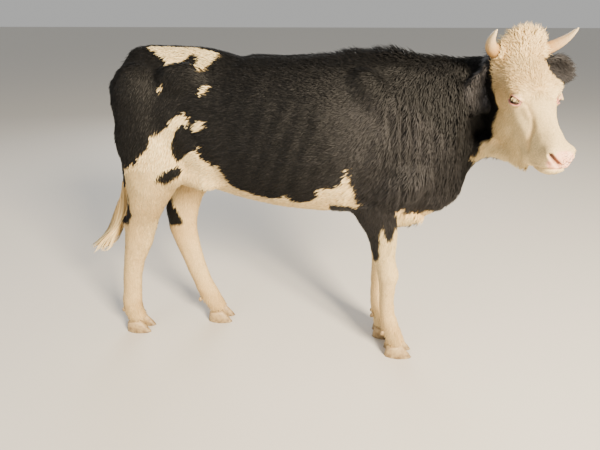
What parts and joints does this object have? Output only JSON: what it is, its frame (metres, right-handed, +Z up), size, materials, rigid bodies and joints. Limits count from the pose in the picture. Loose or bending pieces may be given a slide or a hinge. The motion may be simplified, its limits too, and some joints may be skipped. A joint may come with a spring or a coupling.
{
  "type": "cow",
  "caption": "Still, life-size model of a young horned black and white cow, standing on its four feet and looking round over its right side.",
  "frame": {"origin": "on the floor, in the middle of the space that the animal takes up there", "axes": "+X towards the animal's front, +Y to its left, +Z up"},
  "size_m": [1.8296, 0.572, 1.2723],
  "materials": {
    "coat_black": "fuzzy winter hair, black with brown tips",
    "coat_white": "fuzzy winter hair, white to cream",
    "horn": "satin horn, pale with a darker tip",
    "claw": "dull tan hoof horn",
    "eye": "wet, dark brown eye"
  },
  "bodies": {
    "root": {"trunk": "coat_black", "neck": "coat_black", "head": "coat_white", "leg_front_right": "coat_white", "leg_front_left": "coat_white", "leg_hind_right": "coat_white", "leg_hind_left": "coat_white", "tail": "coat_black", "tail_switch": "coat_white", "ear_right": "coat_black", "ear_left": "coat_black", "horn_right": "horn", "horn_left": "horn", "eye_right": "eye", "eye_left": "eye", "claw_front_right_inner": "claw", "claw_front_right_outer": "claw", "claw_front_left_inner": "claw", "claw_front_left_outer": "claw", "claw_hind_right_inner": "claw", "claw_hind_right_outer": "claw", "claw_hind_left_inner": "claw", "claw_hind_left_outer": "claw", "dewclaw_front_right_inner": "claw", "dewclaw_front_right_outer": "claw", "dewclaw_front_left_inner": "claw", "dewclaw_front_left_outer": "claw", "dewclaw_hind_right_inner": "claw", "dewclaw_hind_right_outer": "claw", "dewclaw_hind_left_inner": "claw", "dewclaw_hind_left_outer": "claw"}
  },
  "joints": []
}
